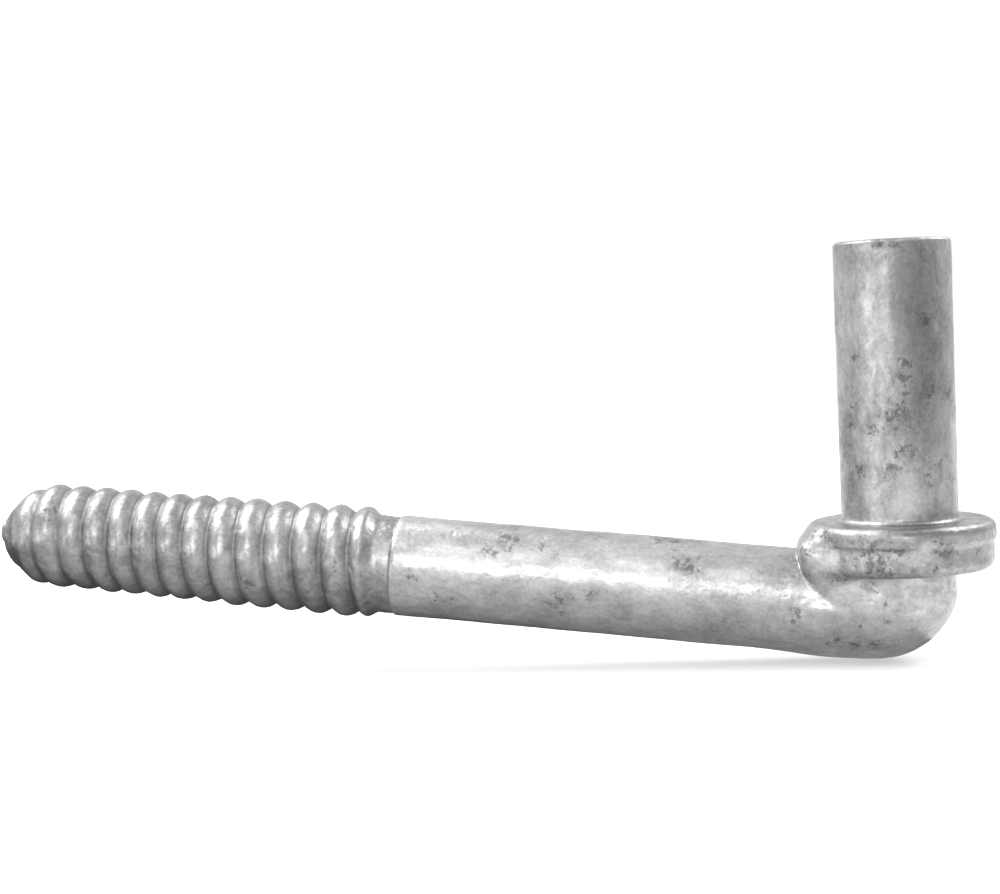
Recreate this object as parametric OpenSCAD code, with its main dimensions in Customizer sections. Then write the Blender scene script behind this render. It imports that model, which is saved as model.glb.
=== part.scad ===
// Lag screw hinge: a hot forged, galvanised pintle that screws into a timber post.
// Millimetres. The origin is where the axis of the upright pin meets the top of the collar.
// +Z runs up the pin, and the shank leaves the elbow along -X, a few degrees above the level.

/* [Gate pin] */
// Diameter of the upright pin that a gate eye turns on
pin_d = 15.9; // [12:0.1:25]
// Height of the pin above the collar
pin_h = 38.6; // [25:0.1:80]
// Radius of the rounded edge round the top of the pin
pin_edge = 0.6; // [0.3:0.1:2.5]

/* [Collar] */
// Diameter of the collar that the gate eye rests on
collar_d = 25.8; // [24:0.1:34]
// Thickness of the collar
collar_t = 6.7; // [5:0.1:9]
// Radius of the rounded edges of the collar
collar_edge = 1.3; // [0.4:0.1:1.8]
// How far the upper part of the rim stands out, from the larger upper die
die_step = 0.25; // [0.1:0.05:0.8]
// Height of the upper part of the rim
upper_rim_h = 2.7; // [2:0.1:3.2]

/* [Elbow and shank] */
// Diameter of the upright stub under the collar, and of the bend
stub_d = 15; // [13:0.1:15.6]
// Radius of the bend, along the middle of the bar
bend_r = 2.5; // [1:0.1:4]
// Length over which the bar narrows from the bend to the plain shank
bend_fade = 12; // [4:0.5:30]
// Diameter of the plain shank
shank_d = 14.5; // [12:0.1:14.8]
// Length of the plain shank, from the pin axis to the start of the thread
shank_l = 71.8; // [45:0.1:140]
// Depth of the shank axis under the top of the collar, at the pin axis
shank_drop = 12.6; // [11:0.1:16]
// Angle of the shank above a right angle to the pin
shank_rise = 6.3; // [0:0.1:10]
// Chamfer on the end of the plain shank, where the thread runs out
shank_chamfer = 0.4; // [0.2:0.1:1]

/* [Inner shoulder] */
// Reach of the inner shoulder from the pin axis, round the rim of the collar
shoulder_reach = 14.5; // [12:0.1:17]
// Width of the inner shoulder across the shank
shoulder_w = 18.2; // [15:0.1:24]
// Width of the inner shoulder at its foot, inside the shank
shoulder_foot_w = 13.6; // [11:0.1:14.2]
// Depth of the top of the shoulder under the top of the collar
shoulder_top = 0.9; // [0.5:0.1:3]
// Height of the shoulder
shoulder_h = 13.1; // [10:0.1:14]
// Radius of the rounded top of the shoulder
shoulder_edge = 4; // [2:0.1:6]

/* [Lag thread] */
// Length of the threaded end, the blunt tip included
thread_l = 60.8; // [35:0.1:120]
// Diameter over the crests next to the shank
thread_d = 16.3; // [14.4:0.1:22]
// Diameter over the crests at the tip
thread_tip_d = 15; // [12:0.1:20]
// Distance from one turn to the next
thread_pitch = 3.96; // [3:0.01:7]
// Depth of the grooves next to the shank
thread_depth = 1.15; // [0.5:0.05:2]
// Depth of the grooves at the tip
thread_tip_depth = 0.6; // [0.3:0.05:1.5]
// Length of the run-out, over which the first turn rises out of its groove
runout_l = 4.4; // [2:0.1:8]
// Length of the rounded tip
tip_l = 8; // [3:0.1:12]
// Diameter of the small flat left on the tip
tip_flat_d = 2.4; // [1:0.1:6]

/* [Hidden] */
$fn = 72;
turn_sides = 24;       // sides of the thread round its axis
turn_rings = 8;        // rings of the thread along each turn
pin_r = pin_d / 2;
collar_r = collar_d / 2;
lower_rim_r = collar_r - die_step;
stub_r = stub_d / 2;
shank_r = shank_d / 2;
relief_r = (thread_d - thread_depth) / 2 - thread_depth / 2;
shoulder_r = shoulder_w / 2;
shoulder_foot_r = shoulder_foot_w / 2;
shoulder_x = shoulder_r - shoulder_reach;
bend_turn = 90 + shank_rise;
bend_reach = bend_r * tan(bend_turn / 2);
bend_z = bend_reach - shank_drop;
ring_count = ceil(thread_l / thread_pitch * turn_rings);

// A value of 0 below a, 1 above b and an even slope between them, with soft ends
function ease(x, a, b) = let (t = min(1, max(0, (x - a) / (b - a)))) t * t * (3 - 2 * t);
function mix(a, b, t) = a + (b - a) * t;

// Height of the rolled crest at a given turn count: a round arch with a sharp valley
function crest(turn) = abs(cos(180 * turn));

// Radius of the thread at distance u from the shank and angle a about the axis
function thread_r(u, a) =
    let (
        t = u / thread_l,
        outer = mix(thread_d, thread_tip_d, t) / 2,
        depth = mix(thread_depth, thread_tip_depth, t),
        turn = (u - runout_l) / thread_pitch + a / 360 - 0.5,
        rise = ease(u, 0, runout_l),
        threaded = outer - depth * (1 - crest(turn)),
        body = mix(relief_r, threaded, rise),
        left = min(1, max(0, (thread_l - u) / tip_l)),
        dome = sqrt(max(0, 1 - pow(1 - left, 2)))
    )
    mix(tip_flat_d / 2, body, dome);

function thread_ring(u) = [
    for (j = [0 : turn_sides - 1])
        let (a = 360 * j / turn_sides, r = thread_r(u, a)) [-u, r * cos(a), r * sin(a)]
];

// Quarter of a circle, the rounded edge of a turned profile
module round_edge(r) {
    intersection() {
        circle(r);
        square(r);
    }
}

// The pin and everything below it turn a profile about Z, so their walls are true cylinders
module pin_profile() {
    square([pin_r, pin_h - pin_edge]);
    square([pin_r - pin_edge, pin_h]);
    translate([pin_r - pin_edge, pin_h - pin_edge]) round_edge(pin_edge);
}

module gate_pin() {
    color("silver") rotate_extrude() pin_profile();
}

// The upper part of the rim stands out a little over the lower part
module collar_profile() {
    translate([0, -collar_t]) square([lower_rim_r - collar_edge, collar_t]);
    translate([0, collar_edge - collar_t])
        square([lower_rim_r, collar_t - collar_edge - upper_rim_h]);
    translate([lower_rim_r - collar_edge, collar_edge - collar_t])
        mirror([0, 1]) round_edge(collar_edge);
    translate([0, -upper_rim_h]) square([collar_r, upper_rim_h - collar_edge]);
    translate([0, -collar_edge]) square([collar_r - collar_edge, collar_edge]);
    translate([collar_r - collar_edge, -collar_edge]) round_edge(collar_edge);
}

module collar() {
    color("gainsboro") rotate_extrude() collar_profile();
}

module stub() {
    translate([0, 0, bend_z]) cylinder(h = -collar_t - bend_z, r = stub_r);
}

// The outside of the bend. The bend is tighter than the bar is thick, so its inside
// lies within the bar, and only the part of the section beyond the bend's axis turns.
module bend() {
    translate([-bend_r, 0, bend_z]) rotate([-90, 0, 0]) rotate_extrude(angle = bend_turn)
        intersection() {
            translate([bend_r, 0]) circle(stub_r);
            translate([0, -stub_r]) square([bend_r + stub_r, 2 * stub_r]);
        }
}

module along_shank() {
    translate([0, 0, -shank_drop]) rotate([0, shank_rise, 0]) children();
}

module plain_shank() {
    along_shank() rotate([0, -90, 0]) {
        translate([0, 0, bend_reach]) cylinder(h = bend_fade, r1 = stub_r, r2 = shank_r);
        translate([0, 0, bend_reach + bend_fade])
            cylinder(h = shank_l - shank_chamfer - bend_reach - bend_fade, r = shank_r);
        translate([0, 0, shank_l - shank_chamfer])
            cylinder(h = shank_chamfer, r1 = shank_r, r2 = shank_r - shank_chamfer);
    }
}

// Metal gathered in the corner of the bend, which the sharp inner crease runs round.
// It narrows downwards into the shank, and its round top laps over the rim of the collar.
module inner_shoulder() {
    translate([shoulder_x, 0, -shoulder_top]) rotate_extrude() {
        translate([shoulder_r - shoulder_edge, -shoulder_edge]) round_edge(shoulder_edge);
        translate([0, -shoulder_edge]) square([shoulder_r - shoulder_edge, shoulder_edge]);
        polygon([
            [0, -shoulder_h],
            [shoulder_foot_r, -shoulder_h],
            [shoulder_r, -shoulder_edge],
            [0, -shoulder_edge]
        ]);
    }
}

module shank_elbow() {
    color("darkgray") difference() {
        union() {
            stub();
            bend();
            plain_shank();
            inner_shoulder();
        }
        collar();
    }
}

module lag_thread() {
    rings = [for (i = [0 : ring_count]) thread_ring(thread_l * i / ring_count)];
    points = [for (ring = rings) each ring];
    walls = [
        for (i = [0 : ring_count - 1], j = [0 : turn_sides - 1])
            let (
                k = (j + 1) % turn_sides,
                a = i * turn_sides + j,
                b = i * turn_sides + k,
                c = b + turn_sides,
                d = a + turn_sides
            )
            each [[a, b, d], [b, c, d]]
    ];
    near_end = [for (j = [0 : turn_sides - 1]) turn_sides - 1 - j];
    far_end = [for (j = [0 : turn_sides - 1]) ring_count * turn_sides + j];
    color("lightgray") along_shank() translate([-shank_l, 0, 0])
        polyhedron(points, concat(walls, [near_end, far_end]));
}

lag_thread();
shank_elbow();
collar();
gate_pin();
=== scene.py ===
# %% [markdown]
# # Lag screw hinge
# The object is the fixed half of a gate hinge, a pintle: one steel bar, forged hot and dipped in
# molten zinc. Its four members are an upright pin, a round collar, a bent shank and a lag thread.
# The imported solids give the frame, and each visible piece is built in that same frame.

# %% Load the frame
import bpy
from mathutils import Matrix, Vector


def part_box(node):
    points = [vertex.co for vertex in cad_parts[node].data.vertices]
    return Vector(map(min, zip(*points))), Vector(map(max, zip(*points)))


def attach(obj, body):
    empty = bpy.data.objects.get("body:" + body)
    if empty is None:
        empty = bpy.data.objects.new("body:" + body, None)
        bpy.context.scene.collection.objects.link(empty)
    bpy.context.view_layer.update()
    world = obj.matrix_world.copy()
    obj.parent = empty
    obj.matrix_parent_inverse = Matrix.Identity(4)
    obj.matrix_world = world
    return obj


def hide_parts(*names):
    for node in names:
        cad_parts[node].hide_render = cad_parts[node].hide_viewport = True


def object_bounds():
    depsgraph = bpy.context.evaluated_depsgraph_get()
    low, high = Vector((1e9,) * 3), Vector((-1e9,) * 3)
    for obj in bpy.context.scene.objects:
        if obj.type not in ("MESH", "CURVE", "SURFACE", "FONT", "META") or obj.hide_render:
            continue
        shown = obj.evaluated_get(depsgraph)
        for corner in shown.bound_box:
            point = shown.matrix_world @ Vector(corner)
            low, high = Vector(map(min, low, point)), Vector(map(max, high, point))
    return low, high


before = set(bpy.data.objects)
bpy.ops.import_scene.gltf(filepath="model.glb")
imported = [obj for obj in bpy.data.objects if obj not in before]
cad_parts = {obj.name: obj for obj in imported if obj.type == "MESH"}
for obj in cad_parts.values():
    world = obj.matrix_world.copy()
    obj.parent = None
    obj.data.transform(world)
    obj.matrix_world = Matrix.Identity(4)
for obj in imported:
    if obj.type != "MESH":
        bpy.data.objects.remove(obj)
cad_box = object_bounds()
print("CAD box in metres:", cad_box)

# %% Libraries and units
import math
import bmesh
import bpy
import numpy as np
from mathutils import Matrix, Vector

MM = 0.001
TINY = 1e-6
scene = bpy.context.scene


def node_size(node):
    """Width, depth and height of a CAD node in millimetres."""
    low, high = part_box(node)
    return [(b - a) / MM for a, b in zip(low, high)]


# %% [markdown]
# ## The camera
# The photograph was taken from close by, square on to the middle of the hinge.
# A short distance makes the near parts large, so the distance matters as much as the angle.
# The camera is turned to a target by azimuth and elevation, then rolled a little,
# and its lens follows from the picture's width in pixels.

# %% Camera
PICTURE_W = 1000
SENSOR_W = 36.0
FOCAL_PX = 1758.0
CAMERA_TARGET = Vector((-55.6, 0.0, 11.9)) * MM
CAMERA_DISTANCE = 251.7 * MM
CAMERA_AZIMUTH = math.radians(9.2)
CAMERA_ELEVATION = math.radians(3.8)
CAMERA_ROLL = math.radians(-2.6)
CLIP_START = 10 * MM


def make_camera():
    """A camera that looks along the photograph's line of sight."""
    flat = math.cos(CAMERA_ELEVATION)
    side, forward = math.sin(CAMERA_AZIMUTH), -math.cos(CAMERA_AZIMUTH)
    back = Vector((side * flat, forward * flat, math.sin(CAMERA_ELEVATION)))
    data = bpy.data.cameras.new("camera")
    data.sensor_fit = "HORIZONTAL"
    data.sensor_width = SENSOR_W
    data.lens = FOCAL_PX / PICTURE_W * SENSOR_W
    data.clip_start = CLIP_START
    camera = bpy.data.objects.new("camera", data)
    scene.collection.objects.link(camera)
    turn = back.to_track_quat("Z", "Y").to_matrix().to_4x4()
    roll = Matrix.Rotation(CAMERA_ROLL, 4, "Z")
    place = Matrix.Translation(CAMERA_TARGET + back * CAMERA_DISTANCE)
    camera.matrix_world = place @ turn @ roll
    return camera


bpy.context.scene.camera = make_camera()
print("camera at", [round(c / MM, 1) for c in scene.camera.matrix_world.translation], "mm")

# %% [markdown]
# ## Sizes
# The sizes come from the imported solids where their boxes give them.
# The rest repeats the named sizes of the CAD model in millimetres.

# %% Sizes
pin_r = node_size("gate_pin")[0] / 2
pin_h = node_size("gate_pin")[2]
collar_r = node_size("collar")[0] / 2
collar_t = node_size("collar")[2]
stub_r = 7.5
shank_r = 7.25
shank_l = 71.8
shank_drop = 12.6
shank_rise = math.radians(6.3)
shank_axis = Vector((-math.cos(shank_rise), 0, math.sin(shank_rise)))
bend_point = Vector((0, 0, -shank_drop))
print("pin", round(pin_r, 2), "by", round(pin_h, 2), "mm, collar radius", round(collar_r, 2), "mm")

# The thread ends 0.5 mm short of the solid's tip, as the outline in the photograph does
thread_l = 60.3
thread_pitch = 3.96
RUNOUT = 4.4

# The rolled crests drift forwards and back a little against an even pitch
DRIFT = 0.5
DRIFT_LENGTH = 50.0
DRIFT_START = -0.38

# %% [markdown]
# ## Small helpers
# A lathe turns a profile about the pin's axis. The profile is first cut into short steps,
# so that the zinc skin, which moves every vertex a little, has enough vertices to move.

# %% Mesh helpers
def arc(cx, cz, radius, start, end, count=10):
    """Points of a profile's round corner, from one angle in degrees to another."""
    angles = [math.radians(start + (end - start) * k / count) for k in range(count + 1)]
    return [(cx + radius * math.cos(a), cz + radius * math.sin(a)) for a in angles]


def resample(points, step):
    """The same outline with no step longer than the one asked for."""
    result = [points[0]]
    for (r0, z0), (r1, z1) in zip(points, points[1:]):
        count = max(1, math.ceil(math.hypot(r1 - r0, z1 - z0) / step))
        shares = [k / count for k in range(1, count + 1)]
        result += [(r0 + (r1 - r0) * share, z0 + (z1 - z0) * share) for share in shares]
    return result


def lathe(bm, profile, sides):
    """Turns a profile that starts and ends on the axis, and adds its closed skin to a bmesh."""
    rings = []
    for radius, z in profile:
        if radius < TINY:
            rings.append([bm.verts.new((0.0, 0.0, z))])
            continue
        ring = []
        for k in range(sides):
            a = 2 * math.pi * k / sides
            ring.append(bm.verts.new((radius * math.cos(a), radius * math.sin(a), z)))
        rings.append(ring)
    for lower, upper in zip(rings, rings[1:]):
        for k in range(sides):
            n = (k + 1) % sides
            around = ((lower, k), (lower, n), (upper, n), (upper, k))
            corners = [ring[i % len(ring)] for ring, i in around]
            bm.faces.new(list(dict.fromkeys(corners)))


def finish_mesh(bm, name):
    """Turns a bmesh in millimetres into an object in metres, with its faces outwards."""
    bmesh.ops.recalc_face_normals(bm, faces=bm.faces)
    bmesh.ops.scale(bm, vec=(MM, MM, MM), verts=bm.verts)
    mesh = bpy.data.meshes.new(name)
    bm.to_mesh(mesh)
    bm.free()
    mesh.polygons.foreach_set("use_smooth", [True] * len(mesh.polygons))
    piece = bpy.data.objects.new(name, mesh)
    scene.collection.objects.link(piece)
    return piece


def settle(piece):
    """Replaces a piece's mesh with the result of its modifiers, and removes the modifiers."""
    evaluated = piece.evaluated_get(bpy.context.evaluated_depsgraph_get())
    mesh = bpy.data.meshes.new_from_object(evaluated)
    piece.modifiers.clear()
    piece.data = mesh


# %% [markdown]
# ## Node trees
# The finish, the zinc skin and the thread are all node trees. Code builds them with one helper that
# adds any node with its settings and inputs, so a line of code reads like a node in the editor.

# %% Node helper
MATH = "ShaderNodeMath"
VECTOR = "ShaderNodeVectorMath"
NOISE = "ShaderNodeTexNoise"
# Map Range takes its value, From Min, From Max, To Min and To Max as the inputs 0 to 4
RANGE = "ShaderNodeMapRange"


def add(tree, kind, inputs=None, **settings):
    """Adds a node to a tree with its settings, and sets or links its inputs."""
    node = tree.nodes.new(kind)
    for name, value in settings.items():
        setattr(node, name, value)
    for key, value in (inputs or {}).items():
        if isinstance(value, bpy.types.NodeSocket):
            tree.links.new(value, node.inputs[key])
        else:
            node.inputs[key].default_value = value
    return node


def linear(hex_colour):
    """A display colour such as #9a9a98 as linear red, green, blue and alpha."""
    parts = [int(hex_colour[k : k + 2], 16) / 255 for k in (1, 3, 5)]
    return [c / 12.92 if c <= 0.04045 else ((c + 0.055) / 1.055) ** 2.4 for c in parts] + [1.0]


def new_material(name):
    """A material with an empty node tree."""
    material = bpy.data.materials.new(name)
    material.use_nodes = True
    material.node_tree.nodes.clear()
    return material, material.node_tree


# %% [markdown]
# ## The zinc finish
# Two wide spots of the smudge, and the bottoms of the thread's valleys, are painted shade.
# The real finish is hot dip galvanising: the forging was lifted out of molten zinc, which froze on
# it as a bright satin metal. It has soft clouds and blotches, dark pits and crooked hairlines where
# flux burnt in, and a grey smudge round them. A picture could be wrapped round the pieces, but
# noise on object coordinates fits them all without seams, and its sizes are real millimetres.
# It is a metal, so its colour lies in the reflection and it keeps the default IOR.
# The crystals of the real zinc are finer than a pixel, so the grain is drawn at half a millimetre.

# %% Zinc patterns
# Each row: name, the place it reads, size of its lumps in mm, detail, roughness and swirl
ZINC_PATTERNS = (
    ("clouds", "along", 6.0, 3.0, 0.5, 0.3),
    ("blotches", "along", 1.7, 3.0, 0.6, 0.8),
    ("grain", "even", 0.5, 2.0, 0.6, 0.0),
    ("ripple", "along", 1.5, 2.0, 0.5, 0.0),
    ("patch", "even", 8.0, 2.0, 0.5, 0.0),
    ("specks", "even", 0.85, 3.0, 0.62, 0.7),
    ("hairs", "even", 1.7, 2.0, 0.6, 1.0),
)
# Each row: a pattern, the noise at which it starts and ends to show, and its share of the tone
TONE_LAYERS = (
    ("clouds", 0.36, 0.64, 0.3),
    ("blotches", 0.36, 0.64, 0.3),
    ("grain", 0.34, 0.66, 0.24),
)
TONE_FLOOR = 0.08


def zinc_noises(tree, stretch, seed):
    """The patterns by name, and the place on the object in millimetres."""
    where = add(tree, "ShaderNodeTexCoord").outputs["Object"]
    even = add(tree, "ShaderNodeMapping", {0: where, "Scale": [1 / MM] * 3}).outputs[0]
    along = add(tree, "ShaderNodeMapping", {0: even, "Scale": stretch}).outputs[0]
    places = {"even": even, "along": along}
    noise = {}
    for number, (pattern, place, size, detail, roughness, swirl) in enumerate(ZINC_PATTERNS):
        settings = {"Vector": places[place], "W": seed + number, "Scale": 1 / size}
        settings |= {"Detail": detail, "Roughness": roughness, "Distortion": swirl}
        noise[pattern] = add(tree, NOISE, settings, noise_dimensions="4D").outputs[0]
    return noise, even


def zinc_tone(tree, noise):
    """From dark to light: soft clouds, blotches inside them, and fine crystals over both."""
    tone = TONE_FLOOR
    for pattern, low, high, share in TONE_LAYERS:
        part = add(tree, RANGE, {0: noise[pattern], 1: low, 2: high, 4: share}).outputs[0]
        tone = add(tree, MATH, {0: tone, 1: part}, operation="ADD").outputs[0]
    return tone


# %% Flux stains
PATCH_NOISE = (0.54, 0.72)
PATCH_SHARE = 0.8
SPOT_CORE = 0.2
PIT_LEVEL_FAR = 0.7
PIT_LEVEL_NEAR = 0.47
PIT_SLOPE = (-0.03, 0.09)
HAIR_WIDTH = 0.04
HAIR_SHARE = 0.3


def stain_and_shade_places(tree, place, patch, spots):
    """How near a point is to where flux gathered, some by chance and some at the spots. At two wide
    spots the nearness is painted shade.
    """
    patches = {0: patch, 1: PATCH_NOISE[0], 2: PATCH_NOISE[1], 4: PATCH_SHARE}
    near = add(tree, RANGE, patches).outputs[0]
    for x, y, z, reach in spots:
        ends = {0: place, 1: (x, y, z)}
        away = add(tree, VECTOR, ends, operation="DISTANCE").outputs["Value"]
        fall = {0: away, 1: SPOT_CORE * reach, 2: reach, 3: 1.0, 4: 0.0}
        close = add(tree, RANGE, fall).outputs[0]
        near = add(tree, MATH, {0: near, 1: close}, operation="MAXIMUM").outputs[0]
    return near


def flux_stains(tree, noise, near):
    """Dark pits where flux gathered, and thin crooked lines between them, where it ran off."""
    level = add(tree, RANGE, {0: near, 3: PIT_LEVEL_FAR, 4: PIT_LEVEL_NEAR}).outputs[0]
    over = add(tree, MATH, {0: noise["specks"], 1: level}, operation="SUBTRACT").outputs[0]
    pits = add(tree, RANGE, {0: over, 1: PIT_SLOPE[0], 2: PIT_SLOPE[1]}).outputs[0]
    middle = add(tree, MATH, {0: noise["hairs"], 1: 0.5}, operation="SUBTRACT").outputs[0]
    width = add(tree, MATH, {0: middle}, operation="ABSOLUTE").outputs[0]
    thin = add(tree, RANGE, {0: width, 1: 0.0, 2: HAIR_WIDTH, 3: HAIR_SHARE, 4: 0.0}).outputs[0]
    broken = add(tree, RANGE, {0: noise["blotches"], 1: 0.5, 2: 0.4}).outputs[0]
    here = add(tree, MATH, {0: near, 1: broken}, operation="MULTIPLY").outputs[0]
    hair = add(tree, MATH, {0: thin, 1: here}, operation="MULTIPLY").outputs[0]
    return add(tree, MATH, {0: pits, 1: hair}, operation="MAXIMUM").outputs[0]


# %% Zinc material
# The dark of the stains and smudge, also used as painted shade in the thread's valleys and at two
# wide spots
STAIN_AND_SHADE_COLOUR = "#474746"
STAIN_SHARE = 0.62
SMUDGE_AND_SHADE_SHARE = 0.42
ROUGHER = 0.07
SMOOTHER = 0.05
FLUX_ROUGHNESS = 0.14
VEIL_ROUGHNESS = 0.15
# Heights of the bumps in millimetres
RIPPLE_HEIGHT = 0.06
GRAIN_HEIGHT = 0.03
STAIN_HEIGHT = -0.015


def zinc(name, light, dark, stretch, rough, seed, spots, valleys=None):
    """Galvanised steel. Stretch scales the patterns, so that they run along the bar.
    Spots are places with a reach, in millimetres, and valleys draws painted shade in a thread's
    valleys."""
    material, tree = new_material(name)
    noise, place = zinc_noises(tree, stretch, seed)
    near = stain_and_shade_places(tree, place, noise["patch"], spots)
    stain = flux_stains(tree, noise, near)

    # A grey smudge of flux lies round the stains, and both veil the bright zinc.
    # Round the two wide spots on the lobe's top and the thread's tip, the smudge is painted shade.
    blotches = noise["blotches"]
    dark_stain = add(tree, MATH, {0: stain, 1: STAIN_SHARE}, operation="MULTIPLY").outputs[0]
    uneven = add(tree, RANGE, {0: blotches, 1: 0.3, 2: 0.65, 3: SMUDGE_AND_SHADE_SHARE, 4: 0.0}).outputs[0]
    smudge_and_shade = add(tree, MATH, {0: near, 1: uneven}, operation="MULTIPLY").outputs[0]
    veil = add(tree, MATH, {0: dark_stain, 1: smudge_and_shade}, operation="MAXIMUM").outputs[0]
    # The valleys of a thread are darkened with painted shade
    if valleys:
        valley_shade_mask = valleys(tree, place)
        veil = add(tree, MATH, {0: veil, 1: valley_shade_mask}, operation="MAXIMUM").outputs[0]
    shades = {0: zinc_tone(tree, noise), 6: linear(dark), 7: linear(light)}
    bright = add(tree, "ShaderNodeMix", shades, data_type="RGBA").outputs[2]
    shades = {0: veil, 6: bright, 7: linear(STAIN_AND_SHADE_COLOUR)}
    colour = add(tree, "ShaderNodeMix", shades, data_type="RGBA").outputs[2]

    # Roughness wanders with the blotches and rises under flux
    wander = {0: blotches, 1: 0.3, 2: 0.7, 3: rough + ROUGHER, 4: rough - SMOOTHER}
    dull = add(tree, RANGE, wander).outputs[0]
    worn = {0: near, 1: FLUX_ROUGHNESS, 2: dull}
    worn = add(tree, MATH, worn, operation="MULTIPLY_ADD").outputs[0]
    duller = {0: veil, 1: VEIL_ROUGHNESS, 2: worn}
    duller = add(tree, MATH, duller, operation="MULTIPLY_ADD").outputs[0]

    normal = {}
    bumps = [(noise["ripple"], RIPPLE_HEIGHT), (noise["grain"], GRAIN_HEIGHT)]
    for height, depth in bumps + [(stain, STAIN_HEIGHT)]:
        settings = {"Height": height, "Strength": 1.0, "Distance": abs(depth) * MM, **normal}
        normal = {"Normal": add(tree, "ShaderNodeBump", settings, invert=depth < 0).outputs[0]}
    surface = {"Base Color": colour, "Metallic": 1.0, "Roughness": duller, **normal}
    shader = add(tree, "ShaderNodeBsdfPrincipled", surface)
    add(tree, "ShaderNodeOutputMaterial", {0: shader.outputs[0]})
    return material


# %% [markdown]
# ## Painted shade in the thread
# The bottoms of the thread's valleys are darkened as painted shade, and its crests are not.
# A mask could be painted on the mesh, but the material can follow the same rule as the mesh:
# it turns a place into a distance along the shank and an angle about it, and so into the helix.

# %% Thread valleys
VALLEY_SHADE = 0.5
VALLEY_REACH = 0.5
RUNOUT_UNSHADED = 0.6


def thread_valleys(tree, place):
    """Painted shade at the bottom of the thread's valleys, and none from half the height of a crest
    up.
    """
    from_bend = add(tree, VECTOR, {0: place, 1: bend_point}, operation="SUBTRACT").outputs[0]
    ends = {0: from_bend, 1: shank_axis}
    along = add(tree, VECTOR, ends, operation="DOT_PRODUCT").outputs["Value"]
    ends = {0: from_bend, 1: (math.sin(shank_rise), 0.0, math.cos(shank_rise))}
    up = add(tree, VECTOR, ends, operation="DOT_PRODUCT").outputs["Value"]
    across = add(tree, "ShaderNodeSeparateXYZ", {0: place}).outputs[1]
    angle = add(tree, MATH, {0: up, 1: across}, operation="ARCTAN2").outputs[0]
    held = add(tree, MATH, {0: along, 1: shank_l}, operation="SUBTRACT").outputs[0]
    swing = {0: held, 1: 2 * math.pi / DRIFT_LENGTH, 2: DRIFT_START}
    swing = add(tree, MATH, swing, operation="MULTIPLY_ADD").outputs[0]
    wave = add(tree, MATH, {0: swing}, operation="COSINE").outputs[0]
    past = add(tree, MATH, {0: wave, 1: DRIFT, 2: held}, operation="MULTIPLY_ADD").outputs[0]
    turns = add(tree, MATH, {0: past, 1: RUNOUT}, operation="SUBTRACT").outputs[0]
    half = add(tree, MATH, {0: angle, 1: 0.5}, operation="MULTIPLY").outputs[0]
    phase = {0: turns, 1: math.pi / thread_pitch, 2: half}
    phase = add(tree, MATH, phase, operation="MULTIPLY_ADD").outputs[0]
    height = add(tree, MATH, {0: phase}, operation="SINE").outputs[0]
    crest = add(tree, MATH, {0: height}, operation="ABSOLUTE").outputs[0]
    fall = {0: crest, 1: 0.0, 2: VALLEY_REACH, 3: VALLEY_SHADE, 4: 0.0}
    low = add(tree, RANGE, fall).outputs[0]
    begun = add(tree, RANGE, {0: held, 1: RUNOUT_UNSHADED * RUNOUT, 2: RUNOUT}).outputs[0]
    return add(tree, MATH, {0: low, 1: begun}, operation="MULTIPLY").outputs[0]


# %% [markdown]
# ## The four zincs
# One dip coated the whole forging, but each member drained and wore in its own way, so each gets a
# material of its own from the same recipe, and the thread's darker colour is painted shade. Large
# stains lie where the photograph shows them, two wide spots paint shade, and chance places the
# rest.

# %% Places of the stains and the painted shade
# Each row: X, Y and Z of a stain and its reach, in millimetres; two wide spots among them paint
# shade
SHANK_SPOTS = (
    (-54, -4.5, -0.8, 3.6), (-56.7, -6.1, -2.3, 2.2), (-49, -5.1, -1.9, 2.0),
    (-47.6, -6.9, -9.7, 3.2), (-42.5, -7.3, -8.6, 2.0), (-68.1, -7.3, -5.8, 1.6),
    (-29.5, -5.8, -4.9, 3.6), (-14.5, -7.2, -12.4, 2.4), (-9.5, -6, -15.7, 2.4),
    (-7.1, -5.9, -16.5, 1.4), (-4.1, -6.1, -16.5, 1.9), (-1.5, -6.3, -16.5, 1.4),
    (-2.6, -7.5, -13, 1.2), (-5.9, -7.3, -13.6, 1.2), (-6.9, -3.3, -7.6, 3.0),
    (-4.6, -6.6, -8.3, 2.0), (-4.3, -12, -2.7, 2.6), (-1.3, -12.7, -2.6, 2.2),
    (-6.2, -11.2, -1.4, 2.2), (-10.2, -7.8, -1.4, 2.0), (3.3, -12.4, -5.5, 1.6),
    (0.6, -12.8, -5.7, 1.4), (-13.8, -2, -3, 1.2), (-4, -12, -4.5, 5.5),
    # The last spot on the next line is painted shade, which dims a lamp's highlight on the lobe's
    # top
    (5, -11.8, -3, 3.0), (-12, -5, -3, 5.5),
)
PIN_SPOTS = (
    (-1.2, -7.9, 7.4, 2.4), (-5.4, -5.8, 7.5, 2.0), (5.1, -6.1, 7.4, 1.6),
    (-0.7, -7.9, 15.2, 4.0), (0.1, -7.9, 19.1, 3.6), (4, -6.9, 17.6, 2.6),
    (0.8, -7.9, 21.8, 2.2), (3.5, -7.1, 27.6, 2.0), (-2.2, -7.6, 37.6, 1.6),
    (-0.4, -7.9, 37.5, 1.4), (-4, -6.9, 13.2, 2.0), (-6.3, -4.9, 13.8, 1.8),
    (0.5, -7.9, 9.8, 2.8), (6.4, -4.7, 17.4, 1.8), (-5.6, -5.6, 22.7, 1.2),
)
THREAD_SPOTS = (
    # The wide second spot on the next line is painted shade, which darkens the thread's tip
    (-106, -7.4, 1.7, 1.2), (-131, -3, 1.5, 5.5), (-122, -6, 5, 2.4), (-92, -7, -6, 2.6),
)

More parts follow.
